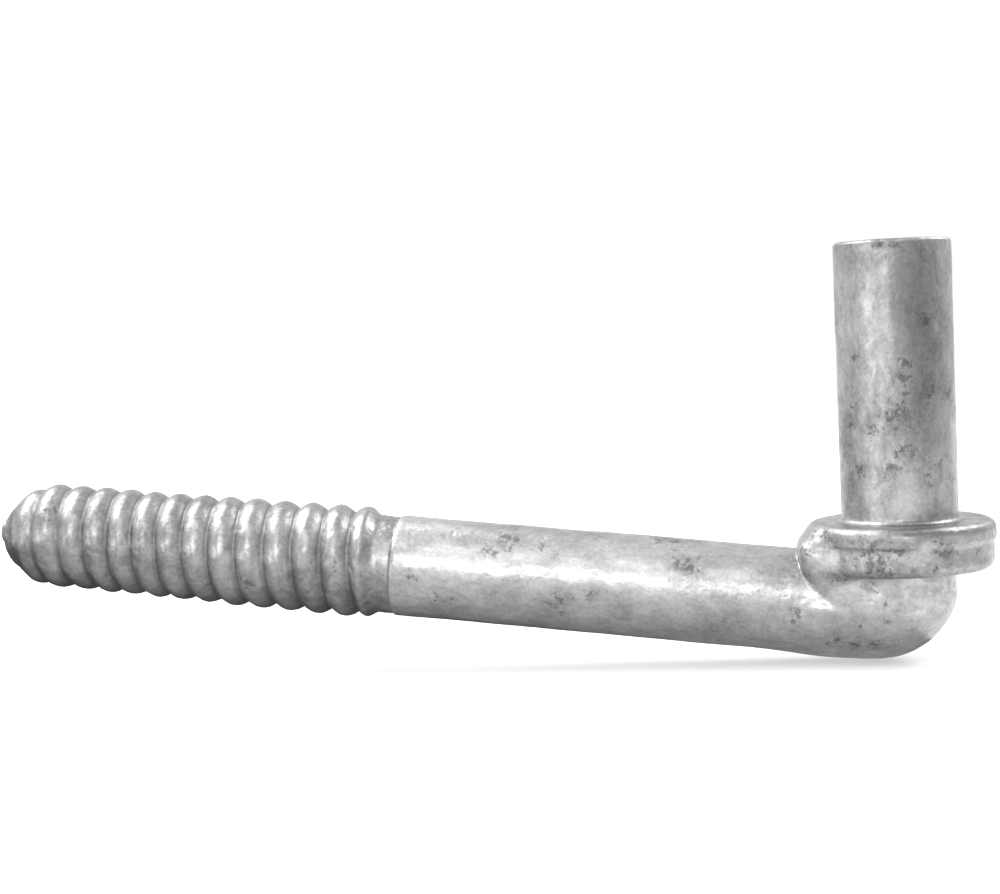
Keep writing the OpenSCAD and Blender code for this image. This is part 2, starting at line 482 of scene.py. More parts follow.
# %% The four zincs
# The clouds run along a bar, because the zinc ran off along it
ALONG_SHANK = (0.6, 1.0, 1.0)
ALONG_PIN = (1.0, 1.0, 0.6)
ALONG_THREAD = (0.8, 1.0, 1.0)
# The forging took the thickest and brightest coat
zinc_shank = zinc("galvanised_forging", "#d4d4d4", "#868686", ALONG_SHANK, 0.33, 0.0, SHANK_SPOTS)
# The smooth bar of the pin drained better, and is greyer and a little duller
zinc_pin = zinc("galvanised_bar", "#c8c8c8", "#7a7a7a", ALONG_PIN, 0.36, 2.0, PIN_SPOTS)
# The collar is as dull as the pin, and darker than the forging
zinc_collar = zinc("galvanised_collar", "#c6c6c6", "#787878", ALONG_SHANK, 0.36, 0.0, SHANK_SPOTS)
# The thread is the darkest; its darker colour is painted shade from its turns shading each other
zinc_thread = zinc(
    "galvanised_thread", "#c0c0c0", "#6e6e6e", ALONG_THREAD, 0.34, 4.0, THREAD_SPOTS, thread_valleys
)
print("materials:", [m.name for m in (zinc_shank, zinc_collar, zinc_pin, zinc_thread)])

# %% [markdown]
# ## The zinc skin
# Molten zinc and hammer scale leave no surface quite even. A Geometry Nodes tree moves every vertex
# along its normal by three layers of noise: long waves, soft lumps and small pits.
# The same tree finishes every piece, so the unevenness runs on from one piece to the next.

# %% Zinc skin tree
# Each row: a layer of noise, the size of its lumps in millimetres, and its detail
SKIN_LAYERS = (("wave", 8.0, 1.0), ("lump", 2.2, 2.0), ("pit", 1.0, 2.0))
SKIN_SEED = 3.0


def make_skin_tree():
    """A node tree with named inputs that roughens any mesh like dipped zinc."""
    tree = bpy.data.node_groups.new("zinc_skin", "GeometryNodeTree")
    tree.interface.new_socket(name="Geometry", in_out="INPUT", socket_type="NodeSocketGeometry")
    for name in ("Wave height", "Lump height", "Pit depth", "Seed"):
        tree.interface.new_socket(name=name, in_out="INPUT", socket_type="NodeSocketFloat")
    tree.interface.new_socket(name="Finish", in_out="INPUT", socket_type="NodeSocketMaterial")
    tree.interface.new_socket(name="Geometry", in_out="OUTPUT", socket_type="NodeSocketGeometry")
    given = add(tree, "NodeGroupInput").outputs
    place = add(tree, "GeometryNodeInputPosition").outputs[0]
    in_mm = add(tree, VECTOR, {0: place, "Scale": 1 / MM}, operation="SCALE").outputs[0]
    noise = {}
    for name, size, detail in SKIN_LAYERS:
        settings = {"Vector": in_mm, "W": given["Seed"], "Scale": 1 / size, "Detail": detail}
        noise[name] = add(tree, NOISE, settings, noise_dimensions="4D").outputs[0]
    height = 0.0
    for name in ("wave", "lump"):
        centred = add(tree, MATH, {0: noise[name], 1: 0.5}, operation="SUBTRACT").outputs[0]
        part = {0: centred, 1: given[name.capitalize() + " height"], 2: height}
        height = add(tree, MATH, part, operation="MULTIPLY_ADD").outputs[0]
    hollow = add(tree, RANGE, {0: noise["pit"], 1: 0.62, 2: 0.72}).outputs[0]
    sink = add(tree, MATH, {0: hollow, 1: given["Pit depth"]}, operation="MULTIPLY").outputs[0]
    height = add(tree, MATH, {0: height, 1: sink}, operation="SUBTRACT").outputs[0]
    normal = add(tree, "GeometryNodeInputNormal").outputs[0]
    offset = add(tree, VECTOR, {0: normal, "Scale": height}, operation="SCALE").outputs[0]
    moved = {"Geometry": given["Geometry"], "Offset": offset}
    moved = add(tree, "GeometryNodeSetPosition", moved).outputs[0]
    real = add(tree, "GeometryNodeRealizeInstances", {0: moved}).outputs[0]
    finished = {"Geometry": real, "Material": given["Finish"]}
    add(tree, "NodeGroupOutput", {0: add(tree, "GeometryNodeSetMaterial", finished).outputs[0]})
    return tree


skin_tree = make_skin_tree()
print("skin tree:", len(skin_tree.nodes), "nodes")


# %% Finishing helpers
def set_inputs(modifier, values):
    """Gives a Geometry Nodes modifier its inputs, found by name and set by identifier."""
    for item in modifier.node_group.interface.items_tree:
        if item.in_out == "INPUT" and item.name in values:
            modifier[item.identifier] = values[item.name]


def add_skin(piece, finish, wave, lump, pit):
    """Gives a piece the zinc skin, with its heights in millimetres."""
    modifier = piece.modifiers.new("zinc_skin", "NODES")
    modifier.node_group = skin_tree
    heights = {"Wave height": wave * MM, "Lump height": lump * MM, "Pit depth": pit * MM}
    set_inputs(modifier, {**heights, "Seed": SKIN_SEED, "Finish": finish})
    settle(piece)


def hand_in(piece, node):
    """Attaches a finished piece to the root, hides the CAD part it replaces, and prints its size.
    """
    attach(piece, "root")
    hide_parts(node)
    spans = [[v.co[k] / MM for v in piece.data.vertices] for k in range(3)]
    size = [round(max(span) - min(span), 1) for span in spans]
    print(piece.name, len(piece.data.polygons), "faces,", size, "mm")


# %% [markdown]
# ## The gate pin
# The pin is a cut length of round bar. Its top edge was chamfered and then rounded by the zinc,
# and the zinc also left a small fillet where the pin stands on the collar.
# A lathe fits both, because the whole pin turns about one axis.

# %% Gate pin
PIN_SIDES = 220
PIN_STEP = 0.3
PIN_EDGE = 0.6
PIN_FILLET = 0.8
PIN_SINK = 0.5
PIN_CROWN = 0.15
FILLET_LIP = 0.02


def pin_profile():
    """Half outline of the pin, from its root inside the collar to the middle of its top."""
    foot_r = pin_r + PIN_FILLET
    root = [(0.0, -PIN_SINK), (foot_r, -PIN_SINK), (foot_r, FILLET_LIP)]
    fillet = arc(foot_r, PIN_FILLET, PIN_FILLET, 270, 180)
    edge = arc(pin_r - PIN_EDGE, pin_h - PIN_CROWN - PIN_EDGE, PIN_EDGE, 0, 90)
    crown = [(pin_r * 0.4, pin_h - PIN_CROWN * 0.3), (0.0, pin_h)]
    return root + fillet + edge + crown


bm = bmesh.new()
lathe(bm, resample(pin_profile(), PIN_STEP), PIN_SIDES)
gate_pin = finish_mesh(bm, "gate_pin_piece")
add_skin(gate_pin, zinc_pin, wave=0.15, lump=0.08, pit=0.05)
hand_in(gate_pin, "gate_pin")

# %% [markdown]
# ## The forging as distances
# Bending the hot bar pushed metal into the inside of the bend. It bulges out under the collar and
# over the collar's edge, and a sharp crease runs where it folded over the shank.
# Such swollen forms are hard to draw as profiles, but easy to say as a distance: each form gives
# every point its distance to the surface, a smooth minimum melts two forms together, and a plain
# minimum leaves a crease.

# %% Distance helpers
def ramp(x, low, high):
    """A soft step from 0 at low to 1 at high."""
    t = np.clip((x - low) / (high - low), 0, 1)
    return t * t * (3 - 2 * t)


def melt(a, b, width):
    """Smooth minimum of two distances, which rounds their joint over the given width."""
    width = np.maximum(width, TINY)
    h = np.clip(0.5 + 0.5 * (b - a) / width, 0, 1)
    return b + (a - b) * h - width * h * (1 - h)


def round_corner(a, b, radius):
    """Distance to the body inside both faces, with their common edge rounded."""
    outside = np.hypot(np.maximum(a + radius, 0), np.maximum(b + radius, 0))
    return outside + np.minimum(np.maximum(a, b) + radius, 0) - radius


# %% Stub and bend
BEND_R = 2.5
STUB_SINK = 0.6
FAR = 100.0
# Angles round the bend in degrees, and how much thinner the bar is at each, in millimetres
BEND_THINNING = ((0, 10, 30, 58, 90, 97), (0.0, 0.1, 0.45, 0.72, 0.5, 0.35))
bend_turn = math.pi / 2 + shank_rise
bend_reach = BEND_R * math.tan(bend_turn / 2)
bend_z = bend_reach - shank_drop
stub_top = STUB_SINK - collar_t


def stub_distance(p):
    """The upright stub and the bend, a round bar along a line that turns into an arc.
    Bending stretched the outside of the bend, so it is thinner there."""
    across = p[:, 0] + BEND_R
    down = bend_z - p[:, 2]
    stub = np.maximum(np.hypot(p[:, 0], p[:, 1]) - stub_r, down)
    angle = np.arctan2(down, across)
    out = np.hypot(across, down) - BEND_R
    off_axis = np.hypot(out, p[:, 1])
    outside = np.clip(out / np.maximum(off_axis, TINY), 0, 1) ** 2
    thinner = np.interp(np.degrees(angle), *BEND_THINNING) * outside
    turned = (angle > 0) & (angle < bend_turn)
    bend = np.where(turned, off_axis - (stub_r - thinner), FAR)
    return np.maximum(np.minimum(stub, bend), p[:, 2] - stub_top)


# %% Plain shank
BEND_FADE = 12.0
SHANK_LAP = 0.6
LAP_SLOPE = 0.8
LAP_DROP = 0.3
# Places along the shank, and how much fuller its underside is at each, in millimetres
SHANK_UNDERSIDE = ((0, 2.8, 5, 8, 11, 15, 20), (-0.35, -0.35, -0.1, 0.15, 0.25, 0.15, 0.0))


def shank_distance(p):
    """The plain shank, a round bar that laps down over the start of the thread."""
    q = p - np.array(bend_point)
    along = q @ np.array(shank_axis)
    radius = stub_r + (shank_r - stub_r) * np.clip((along - bend_reach) / BEND_FADE, 0, 1)
    off_axis = q - np.outer(along, np.array(shank_axis))
    out = np.linalg.norm(off_axis, axis=1)
    down = -off_axis[:, 2] / np.maximum(out, TINY)
    out = out - radius - np.interp(along, *SHANK_UNDERSIDE) * np.clip(down, 0, 1) ** 2
    end = along - shank_l
    ends = np.maximum(bend_reach - along, end - SHANK_LAP)
    lap = (out + LAP_DROP + LAP_SLOPE * end) / math.hypot(1, LAP_SLOPE)
    return np.maximum(np.maximum(out, ends), lap)


# %% Gathered metal
LOBE_LEFT = -14.4
LOBE_RIGHT = 1.0
LOBE_TOP = -1.6
LOBE_FOOT = -14.0
LOBE_HALF = 7.0
LOBE_ROUND = 2.5
LOBE_BACK_ROUND = 4.5
# The left face stands upright above the crease's start and leans over the shank below it
LOBE_LEAN = math.radians(22)
LOBE_CREASE = (-14.3, -5.0)
CREASE_START_MELT = 1.5
# The left end swells, and narrows again from this height down
LOBE_SWELL = 0.9
LOBE_TAPER = 0.18
TAPER_TOP = -6


def lobe_distance(p):
    """The metal gathered in the corner of the bend, a rounded block with a leaning left face."""
    x, y, z = p.T
    past_x, past_z = x - LOBE_CREASE[0], z - LOBE_CREASE[1]
    lean = -math.cos(LOBE_LEAN) * past_x - math.sin(LOBE_LEAN) * past_z
    left = -melt(x - LOBE_LEFT, -lean, CREASE_START_MELT)
    left_end = ramp(-x, 5, 10)
    half = LOBE_HALF + left_end * (LOBE_SWELL - LOBE_TAPER * np.maximum(TAPER_TOP - z, 0))
    corner = LOBE_ROUND + (LOBE_BACK_ROUND - LOBE_ROUND) * ramp(y, -2, 2)
    walls = round_corner(np.maximum(left, x - LOBE_RIGHT), np.abs(y) - half, corner)
    return round_corner(walls, np.maximum(z - LOBE_TOP, LOBE_FOOT - z), LOBE_ROUND)


# %% Collar distance
COLLAR_EDGE = 1.3
DIE_STEP = 0.3
STEP_HALF = 0.2
UPPER_RIM = 2.7
SQUEEZE = 0.2


def collar_distance(p, gap=0.0):
    """The collar. The bend squeezed its rim in a little on the side of the shank."""
    radius = np.hypot(p[:, 0], p[:, 1])
    towards = -p[:, 0] / np.maximum(radius, TINY)
    rim = collar_r - SQUEEZE * ramp(towards, 0.3, 0.9)
    step = DIE_STEP * ramp(-p[:, 2], UPPER_RIM - STEP_HALF, UPPER_RIM + STEP_HALF)
    out = radius - (rim - step - COLLAR_EDGE - gap)
    up = np.abs(p[:, 2] + collar_t / 2) - (collar_t / 2 - COLLAR_EDGE - gap)
    outside = np.hypot(np.maximum(out, 0), np.maximum(up, 0))
    return outside + np.minimum(np.maximum(out, up), 0) - COLLAR_EDGE


# %% The whole forging
LOBE_MELT = 2.5
COLLAR_MELT = 1.8
# The forging fills half of the collar from inside, and shows through only where it bulges out
CORE_RIGHT = 1.0
COLLAR_GAP = 0.04
COLLAR_GAP_RIGHT = 0.25


def forging_distance(p):
    """All of the bent shank. The crease is sharp on top of the shank and melts on its sides."""
    stub = stub_distance(p)
    shank = shank_distance(p)
    gap = COLLAR_GAP + COLLAR_GAP_RIGHT * ramp(p[:, 0], -7, -2)
    core = np.maximum(collar_distance(p, gap), p[:, 0] - CORE_RIGHT)
    above = p[:, 2] - (bend_point.z - p[:, 0] * math.tan(shank_rise))
    # The crease opens near the stub, below the shank's middle and on the corners by the stub
    front = ramp(p[:, 0], -11, -8.8) * ramp(np.abs(p[:, 1]), 4, 6.5)
    low = ramp(-above, -1.8, 0.0)
    open_side = np.maximum(np.maximum(ramp(shank - stub, -1, 1), low), front)
    gathered = melt(np.minimum(stub, shank), lobe_distance(p), LOBE_MELT * open_side)
    return melt(gathered, core, COLLAR_MELT)


# %% Settling on a distance
SETTLE_STEPS = 6
SETTLE_REACH = 0.05
LEAST_SLOPE = 0.2
LONGEST_MOVE = 0.6


def settle_on(distance, piece):
    """Walks a piece's vertices down a distance, along its slope, until they lie on the surface."""
    count = len(piece.data.vertices)
    p = np.empty(count * 3)
    piece.data.vertices.foreach_get("co", p)
    p = p.reshape(-1, 3) / MM
    for _ in range(SETTLE_STEPS):
        slope = np.empty_like(p)
        for k in range(3):
            side = np.zeros(3)
            side[k] = SETTLE_REACH
            slope[:, k] = (distance(p + side) - distance(p - side)) / (2 * SETTLE_REACH)
        size = np.maximum((slope**2).sum(axis=1), LEAST_SLOPE)
        p = p - np.clip(distance(p) / size, -LONGEST_MOVE, LONGEST_MOVE)[:, None] * slope
    piece.data.vertices.foreach_set("co", (p * MM).ravel())
    furthest = round(float(np.abs(distance(p)).max()), 3)
    print(piece.name, count, "vertices, furthest from the surface", furthest, "mm")


# %% [markdown]
# ## The collar
# The collar was upset from the bar between two dies. The upper die was a little larger, so a faint
# step runs round the rim. A lathe makes an even mesh, and the distance gives it its shape.

# %% Collar
COLLAR_SIDES = 320
COLLAR_STEP = 0.24


def collar_profile():
    """Half outline of the collar, from the middle of its underside to the middle of its top."""
    edge = COLLAR_EDGE
    low_edge = arc(collar_r - edge, edge - collar_t, edge, 270, 360)
    top_edge = arc(collar_r - edge, -edge, edge, 0, 90)
    return [(0.0, -collar_t)] + low_edge + top_edge + [(0.0, 0.0)]


bm = bmesh.new()
lathe(bm, resample(collar_profile(), COLLAR_STEP), COLLAR_SIDES)
collar = finish_mesh(bm, "collar_piece")
settle_on(collar_distance, collar)
add_skin(collar, zinc_collar, wave=0.2, lump=0.1, pit=0.08)
hand_in(collar, "collar")

# %% [markdown]
# ## The bent shank
# The forging is one swollen body, which no lathe or extrusion gives. Rough solids of the stub, the
# shank, the gathered metal and half of the collar are fused by a voxel remesh instead.
# That gives an even mesh, which the distance then shapes and the zinc skin roughens.

# %% Rough solids
BAR_SIDES = 160
CORE_SINK = 0.1
CORE_INSET = 0.3


def pour_into(bm, part):
    """Adds one bmesh to another and frees it."""
    mesh = bpy.data.meshes.new("part")
    part.to_mesh(mesh)
    part.free()
    bm.from_mesh(mesh)
    bpy.data.meshes.remove(mesh)


def add_lobe(bm):
    """A rough block of the gathered metal, its outline in X and Z pushed out along Y."""
    foot = LOBE_FOOT + 1
    top = LOBE_TOP - 0.4
    corner = LOBE_LEFT + 0.4
    outline = [(corner, top), (corner, -4.5), (corner + 3.5, foot), (LOBE_RIGHT, foot)]
    outline.append((LOBE_RIGHT, top))
    ends = [[bm.verts.new((x, side * LOBE_HALF, z)) for x, z in outline] for side in (-1, 1)]
    near, far = ends
    bm.faces.new(near)
    bm.faces.new(far[::-1])
    for k in range(len(outline)):
        n = (k + 1) % len(outline)
        bm.faces.new((near[n], near[k], far[k], far[n]))


def add_collar_core(bm):
    """The half of the collar on the side of the shank, a little inside its faces."""
    core_r = collar_r - CORE_INSET
    low, top = -collar_t + CORE_SINK, -CORE_SINK
    half = bmesh.new()
    lathe(half, [(0.0, low), (core_r, low), (core_r, top), (0.0, top)], BAR_SIDES)
    plane = {"plane_co": (CORE_RIGHT, 0, 0), "plane_no": (1, 0, 0), "clear_outer": True}
    cut = half.verts[:] + half.edges[:] + half.faces[:]
    cut = bmesh.ops.bisect_plane(half, geom=cut, **plane)["geom_cut"]
    edges = [e for e in cut if isinstance(e, bmesh.types.BMEdge)]
    bmesh.ops.edgenet_fill(half, edges=edges)
    pour_into(bm, half)


def add_shank(bm):
    """The plain shank, turned about its own axis from the bend."""
    end = shank_l + SHANK_LAP
    profile = [(0.0, 0.0), (shank_r, 0.0), (shank_r, shank_l - 1.0), (shank_r - 0.4, end)]
    part = bmesh.new()
    lathe(part, profile + [(0.0, end)], BAR_SIDES)
    turn = Vector((0, 0, 1)).rotation_difference(shank_axis).to_matrix().to_4x4()
    part.transform(Matrix.Translation(bend_point) @ turn)
    pour_into(bm, part)


# %% Bent shank
VOXEL = 0.27
SOFTEN = 0.5
SOFTEN_TIMES = 2

bm = bmesh.new()
ball = [(0.0, -shank_drop - stub_r)] + arc(0.0, -shank_drop, stub_r, -89, 0, 30)
lathe(bm, ball + [(stub_r, stub_top), (0.0, stub_top)], BAR_SIDES)
add_lobe(bm)
add_collar_core(bm)
add_shank(bm)
shank = finish_mesh(bm, "shank_elbow_piece")
fuse = shank.modifiers.new("fuse", "REMESH")
fuse.mode = "VOXEL"
fuse.voxel_size = VOXEL * MM
fuse.use_smooth_shade = True
settle(shank)
settle_on(forging_distance, shank)
soften = shank.modifiers.new("soften", "SMOOTH")
soften.factor = SOFTEN
soften.iterations = SOFTEN_TIMES
settle(shank)
add_skin(shank, zinc_shank, wave=0.25, lump=0.1, pit=0.08)
hand_in(shank, "shank_elbow")

# %% [markdown]
# ## The lag thread
# The thread was rolled into the bar: a right-hand helix with round crests and sharp valleys.
# It is the one piece whose whole shape follows a rule, so a Geometry Nodes tree makes it.
# A flat grid is wrapped round the axis. Its rows are sheared by one pitch a turn, so they run
# along the helix, and where they pass an end they gather in the middle and close it.
# The grid's two sides meet in one line along the back, but a turn isn't quite a whole number of
# rows, so their vertices lie beside each other, and that seam isn't welded.
# The tip is a blunt dome with the short nub that is left where the bar was cut off.

# %% Thread tree
VALLEY_SOFTNESS = 0.004
RELIEF_SHARE = 0.45
DOME_POWER = 1.8
MERGE = 0.002 * MM
THREAD_LENGTHS = (
    "Length", "Pitch", "Crest radius", "Tip radius", "Depth", "Tip depth", "Run-out",
    "Relief radius", "Tip length", "Nub length", "Nub radius", "Row gap", "Drift", "Drift length",
)


def make_thread_tree():
    """A node tree with named inputs that makes a lag thread along -X from the origin."""
    tree = bpy.data.node_groups.new("lag_thread_sweep", "GeometryNodeTree")
    for name in THREAD_LENGTHS:
        tree.interface.new_socket(name=name, in_out="INPUT", socket_type="NodeSocketFloat")
    for name in ("Rows", "Sides"):
        tree.interface.new_socket(name=name, in_out="INPUT", socket_type="NodeSocketInt")
    tree.interface.new_socket(name="Finish", in_out="INPUT", socket_type="NodeSocketMaterial")
    tree.interface.new_socket(name="Geometry", in_out="OUTPUT", socket_type="NodeSocketGeometry")
    given = add(tree, "NodeGroupInput").outputs
    length, pitch = given["Length"], given["Pitch"]

    grid = {"Size X": 1.0, "Size Y": 1.0, "Vertices X": given["Rows"], "Vertices Y": given["Sides"]}
    grid = add(tree, "GeometryNodeMeshGrid", grid).outputs[0]
    place = add(tree, "GeometryNodeInputPosition").outputs[0]
    across = add(tree, "ShaderNodeSeparateXYZ", {0: place}).outputs
    turn = add(tree, MATH, {0: across[1], 1: 0.5}, operation="ADD").outputs[0]
    along = add(tree, MATH, {0: across[0], 1: 0.5}, operation="ADD").outputs[0]

    # Distance along the axis before and after it is held between the two ends
    span = add(tree, MATH, {0: pitch, 1: 2.0, 2: length}, operation="MULTIPLY_ADD").outputs[0]
    shear = add(tree, MATH, {0: turn, 1: pitch}, operation="MULTIPLY").outputs[0]
    reach = add(tree, MATH, {0: along, 1: span}, operation="MULTIPLY").outputs[0]
    raw = add(tree, MATH, {0: reach, 1: shear}, operation="SUBTRACT").outputs[0]
    held = add(tree, "ShaderNodeClamp", {0: raw, 1: 0.0, 2: length}).outputs[0]
    inside = {0: raw, 1: held, 2: given["Row gap"]}
    inside = add(tree, MATH, inside, operation="COMPARE").outputs[0]

    # The crests drift a little, as a slow wave along the thread
    drift = add(tree, MATH, {0: held, 1: given["Drift length"]}, operation="DIVIDE").outputs[0]
    drift = {0: drift, 1: 2 * math.pi, 2: DRIFT_START}
    drift = add(tree, MATH, drift, operation="MULTIPLY_ADD").outputs[0]
    drift = add(tree, MATH, {0: drift}, operation="COSINE").outputs[0]
    drifted = {0: drift, 1: given["Drift"], 2: held}
    drifted = add(tree, MATH, drifted, operation="MULTIPLY_ADD").outputs[0]

    # The crest is a round arch, the sine of half a turn, that starts at the end of the run-out
    past = add(tree, MATH, {0: drifted, 1: given["Run-out"]}, operation="SUBTRACT").outputs[0]
    turns = add(tree, MATH, {0: past, 1: pitch}, operation="DIVIDE").outputs[0]
    phase = add(tree, MATH, {0: turns, 1: turn}, operation="ADD").outputs[0]
    swing = add(tree, MATH, {0: phase, 1: math.pi}, operation="MULTIPLY").outputs[0]
    wave = add(tree, MATH, {0: swing}, operation="SINE").outputs[0]
    arch = {0: wave, 1: wave, 2: VALLEY_SOFTNESS}
    arch = add(tree, MATH, arch, operation="MULTIPLY_ADD").outputs[0]
    crest = add(tree, MATH, {0: arch}, operation="SQRT").outputs[0]
    valley = add(tree, MATH, {0: 1.0, 1: crest}, operation="SUBTRACT").outputs[0]

    # Crest radius and depth run evenly from the shank to the tip
    outer = {0: held, 1: 0.0, 2: length, 3: given["Crest radius"], 4: given["Tip radius"]}
    outer = add(tree, RANGE, outer).outputs[0]
    depth = {0: held, 1: 0.0, 2: length, 3: given["Depth"], 4: given["Tip depth"]}
    depth = add(tree, RANGE, depth).outputs[0]
    cut = add(tree, MATH, {0: depth, 1: valley}, operation="MULTIPLY").outputs[0]
    threaded = add(tree, MATH, {0: outer, 1: cut}, operation="SUBTRACT").outputs[0]
    start = {0: given["Run-out"], 1: RELIEF_SHARE}
    start = add(tree, MATH, start, operation="MULTIPLY").outputs[0]
    body = {0: held, 1: start, 2: given["Run-out"], 3: given["Relief radius"], 4: threaded}
    body = add(tree, RANGE, body, interpolation_type="SMOOTHSTEP").outputs[0]

    # The tip closes as a blunt dome with the nub of the cut bar in its middle
    left = add(tree, MATH, {0: length, 1: held}, operation="SUBTRACT").outputs[0]
    share = {0: left, 1: given["Nub length"], 2: given["Tip length"], 3: 1.0, 4: 0.0}
    share = add(tree, RANGE, share).outputs[0]
    bulge = add(tree, MATH, {0: share, 1: DOME_POWER}, operation="POWER").outputs[0]
    rest = add(tree, MATH, {0: 1.0, 1: bulge}, operation="SUBTRACT").outputs[0]
    dome = add(tree, MATH, {0: rest}, operation="SQRT").outputs[0]
    domed = add(tree, MATH, {0: body, 1: dome}, operation="MULTIPLY").outputs[0]
    nubbed = add(tree, MATH, {0: domed, 1: given["Nub radius"]}, operation="MAXIMUM").outputs[0]
    radius = add(tree, MATH, {0: nubbed, 1: inside}, operation="MULTIPLY").outputs[0]

    # Wrap the grid round the axis
    angle = add(tree, MATH, {0: turn, 1: 2 * math.pi}, operation="MULTIPLY").outputs[0]
    cosine = add(tree, MATH, {0: angle}, operation="COSINE").outputs[0]
    sine = add(tree, MATH, {0: angle}, operation="SINE").outputs[0]
    x = add(tree, MATH, {0: held, 1: -1.0}, operation="MULTIPLY").outputs[0]
    y = add(tree, MATH, {0: cosine, 1: radius}, operation="MULTIPLY").outputs[0]
    z = add(tree, MATH, {0: sine, 1: radius}, operation="MULTIPLY").outputs[0]
    point = add(tree, "ShaderNodeCombineXYZ", {0: x, 1: y, 2: z}).outputs[0]
    wrapped = {"Geometry": grid, "Position": point}
    wrapped = add(tree, "GeometryNodeSetPosition", wrapped).outputs[0]
    merged = {"Geometry": wrapped, "Distance": MERGE}
    merged = add(tree, "GeometryNodeMergeByDistance", merged).outputs[0]
    shaded = add(tree, "GeometryNodeSetShadeSmooth", {"Geometry": merged}).outputs[0]
    real = add(tree, "GeometryNodeRealizeInstances", {0: shaded}).outputs[0]
    finished = {"Geometry": real, "Material": given["Finish"]}
    add(tree, "NodeGroupOutput", {0: add(tree, "GeometryNodeSetMaterial", finished).outputs[0]})
    return tree


# %% Lag thread
ROWS_A_TURN = 22
THREAD_SIDES = 170
ROW_GAP_SLACK = 1.02
thread_rows = round((thread_l / thread_pitch + 2) * ROWS_A_TURN)
row_gap = ROW_GAP_SLACK * (thread_l + 2 * thread_pitch) / (thread_rows - 1)
thread_lengths = {
    "Length": thread_l,
    "Pitch": thread_pitch,
    "Crest radius": 8.15,
    "Tip radius": 7.5,
    "Depth": 1.15,
    "Tip depth": 0.6,
    "Run-out": RUNOUT,
    "Relief radius": 6.95,
    "Tip length": 8.0,
    "Nub length": 0.3,
    "Nub radius": 1.7,
    "Row gap": row_gap,
    "Drift": DRIFT,
    "Drift length": DRIFT_LENGTH,
}
thread = bpy.data.objects.new("lag_thread_piece", bpy.data.meshes.new("lag_thread_piece"))
scene.collection.objects.link(thread)
sweep = thread.modifiers.new("lag_thread_sweep", "NODES")
sweep.node_group = make_thread_tree()
set_inputs(sweep, {name: length * MM for name, length in thread_lengths.items()})
set_inputs(sweep, {"Rows": thread_rows, "Sides": THREAD_SIDES + 1, "Finish": zinc_thread})
settle(thread)

# %% Place the thread
# The thread was made along -X at the origin, and is turned and moved to the end of the shank
bm = bmesh.new()
bm.from_mesh(thread.data)
bmesh.ops.recalc_face_normals(bm, faces=bm.faces)
open_edges = sum(1 for edge in bm.edges if len(edge.link_faces) != 2)
thread_start = (bend_point + shank_axis * shank_l) * MM
bm.transform(Matrix.Translation(thread_start) @ Matrix.Rotation(shank_rise, 4, "Y"))
bm.to_mesh(thread.data)
volume = round(bm.calc_volume(signed=True) / MM**3)
bm.free()
print("thread volume", volume, "mm3,", open_edges, "open edges")
add_skin(thread, zinc_thread, wave=0.4, lump=0.28, pit=0.1)
hand_in(thread, "lag_thread")

# %% [markdown]
# ## Floor and cards
# The photograph has a pure white ground. Metal shows what stands round it, so with white on every
# side it would lose its shape. As a product photographer sets up flags, four grey cards stand
# where only reflections see them: two on the floor, darker towards the back, one close to the pin
# for its dark side, and a pale one to the right for the collar's rim and the elbow.

# %% Floor and cards
FLOOR_Z = cad_box[0][2] / MM - 0.2
FLOOR_SIDE = 30000.0
FLOOR_GLOW = 0.4
CARD_Z = FLOOR_Z + 0.1
UP = (0, 0, 1)


def stage_plane(name, width, height, place, facing, material):
    """A flat rectangle in millimetres, its middle at a place, turned to a direction."""
    x, y = width / 2, height / 2
    turn = Vector(facing).to_track_quat("Z", "Y").to_matrix()
    corners = [Vector(c) for c in ((-x, -y, 0), (x, -y, 0), (x, y, 0), (-x, y, 0))]
    mesh = bpy.data.meshes.new(name)
    mesh.from_pydata([(turn @ c + Vector(place)) * MM for c in corners], [], [(0, 1, 2, 3)])
    mesh.materials.append(material)
    plane = bpy.data.objects.new(name, mesh)
    scene.collection.objects.link(plane)
    return plane


def background_rays(tree):
    """One where a ray comes from the camera, a reflection or a see-through surface."""
    path = add(tree, "ShaderNodeLightPath").outputs
    seen = path["Is Camera Ray"]
    for other in ("Is Glossy Ray", "Is Transmission Ray"):
        seen = add(tree, MATH, {0: seen, 1: path[other]}, operation="MAXIMUM").outputs[0]
    return seen


def floor_material():
    """Pale floor that shows white, but keeps the object's shadow."""
    material, tree = new_material("pale_floor")
    paint = add(tree, "ShaderNodeBsdfDiffuse", {"Color": linear("#ececec")}).outputs[0]
    strength = {0: background_rays(tree), 1: FLOOR_GLOW}
    strength = add(tree, MATH, strength, operation="MULTIPLY").outputs[0]
    glow = add(tree, "ShaderNodeEmission", {"Strength": strength}).outputs[0]
    both = add(tree, "ShaderNodeAddShader", {0: paint, 1: glow}).outputs[0]
    add(tree, "ShaderNodeOutputMaterial", {0: both})
    return material


def card_material(name, strength, fades):
    """A matt card. Each fade adds brightness over a band of Y in millimetres, up to its gain."""
    material, tree = new_material(name)
    where = add(tree, "ShaderNodeTexCoord").outputs["Object"]
    depth = add(tree, "ShaderNodeSeparateXYZ", {0: where}).outputs[1]
    for none_at, full_at, gain in fades:
        band = {0: depth, 1: none_at * MM, 2: full_at * MM, 4: gain}
        part = add(tree, RANGE, band).outputs[0]
        strength = add(tree, MATH, {0: strength, 1: part}, operation="ADD").outputs[0]
    glow = add(tree, "ShaderNodeEmission", {"Strength": strength}).outputs[0]
    add(tree, "ShaderNodeOutputMaterial", {0: glow})
    return material


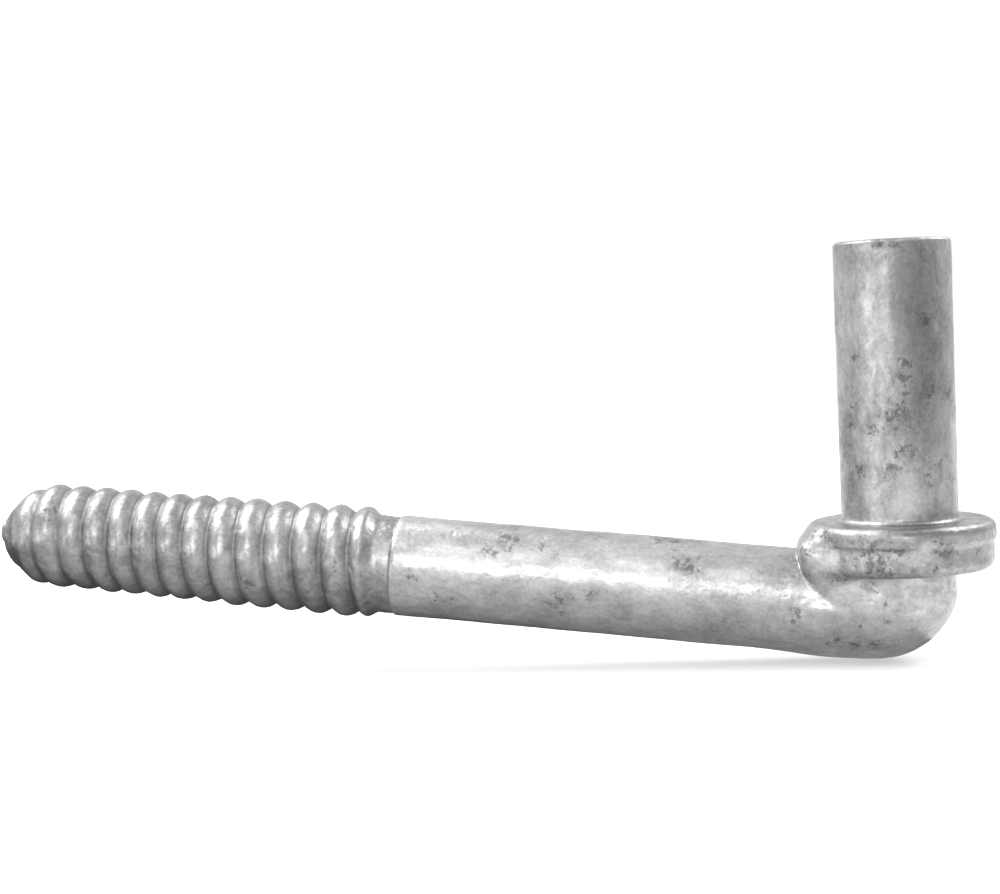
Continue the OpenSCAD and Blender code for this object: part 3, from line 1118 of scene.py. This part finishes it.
def add_card(name, width, height, place, facing, strength, fades=()):
    """A card that only reflections see."""
    material = card_material(name, strength, fades)
    card = stage_plane(name, width, height, place, facing, material)
    card.visible_camera = False
    card.visible_diffuse = False
    card.visible_shadow = False
    card.visible_transmission = False


# Each row: name, width, height, place, direction, strength and fades
SHANK_FADES = ((8, -14, 0.7), (-14, -60, 0.4))
THREAD_FADES = ((8, -14, 0.54), (-14, -60, 0.1))
CARDS = (
    ("card_below_shank", 134, 420, (-61, -90, CARD_Z), UP, 0.08, SHANK_FADES),
    ("card_below_thread", 182, 420, (-219, -90, CARD_Z), UP, 0.06, THREAD_FADES),
    ("card_right", 48, 44, (15, -23.5, 31), (-0.48, 0.877, 0), 0.45),
    ("card_beside", 260, 110, (85, -70, 36), (-1, 0.1, 0), 0.78),
)
stage_plane("floor", FLOOR_SIDE, FLOOR_SIDE, (0, 0, FLOOR_Z), UP, floor_material())
for card in CARDS:
    add_card(*card)
print("floor at", round(FLOOR_Z, 2), "mm,", len(CARDS), "cards")

# %% [markdown]
# ## Lamps and world
# Soft rectangular lamps give the bright bands, because a bar shows a lamp as a streak along it.
# The front lamp makes the bright band on the shank and the upper one its soft upper edge, the left
# one the stripe on the pin, the top one the tops of the crests, and the right one the highlight on
# the collar's upper edge. The world fills in at a plain level and shows white where it is seen.

# %% Lamps and world
# Each row: name, width, height, watts, place and aim
LAMPS = (
    ("front_lamp", 320, 200, 0.62, (-95, -520, 185), (-40, 0, -6)),
    ("upper_lamp", 500, 260, 0.42, (-60, -400, 520), (-50, 0, 0)),
    ("left_lamp", 260, 110, 0.2, (-420, -330, 30), (0, 0, 10)),
    ("top_lamp", 560, 400, 2.5, (-370, 60, 450), (-120, 0, 0)),
    ("right_lamp", 260, 260, 0.9, (330, 240, 390), (10, 0, 0)),
)
WORLD_LIGHT = 0.75
WORLD_SEEN = 1.0


def add_lamp(name, width, height, watts, place, aim):
    """A soft rectangular lamp that looks from a place to an aim, all in millimetres."""
    data = bpy.data.lights.new(name, "AREA")
    data.shape = "RECTANGLE"
    data.size = width * MM
    data.size_y = height * MM
    data.energy = watts
    light = bpy.data.objects.new(name, data)
    scene.collection.objects.link(light)
    turn = (Vector(place) - Vector(aim)).to_track_quat("Z", "Y").to_matrix().to_4x4()
    light.matrix_world = Matrix.Translation(Vector(place) * MM) @ turn


for lamp in LAMPS:
    add_lamp(*lamp)

world = bpy.data.worlds.new("studio")
scene.world = world
world.use_nodes = True
tree = world.node_tree
tree.nodes.clear()
strength = {0: background_rays(tree), 3: WORLD_LIGHT, 4: WORLD_SEEN}
strength = add(tree, RANGE, strength).outputs[0]
sky = {"Color": linear("#ffffff"), "Strength": strength}
add(tree, "ShaderNodeOutputWorld", {0: add(tree, "ShaderNodeBackground", sky).outputs[0]})
scene.view_settings.view_transform = "Standard"
print(len(LAMPS), "lamps, world at", WORLD_LIGHT)
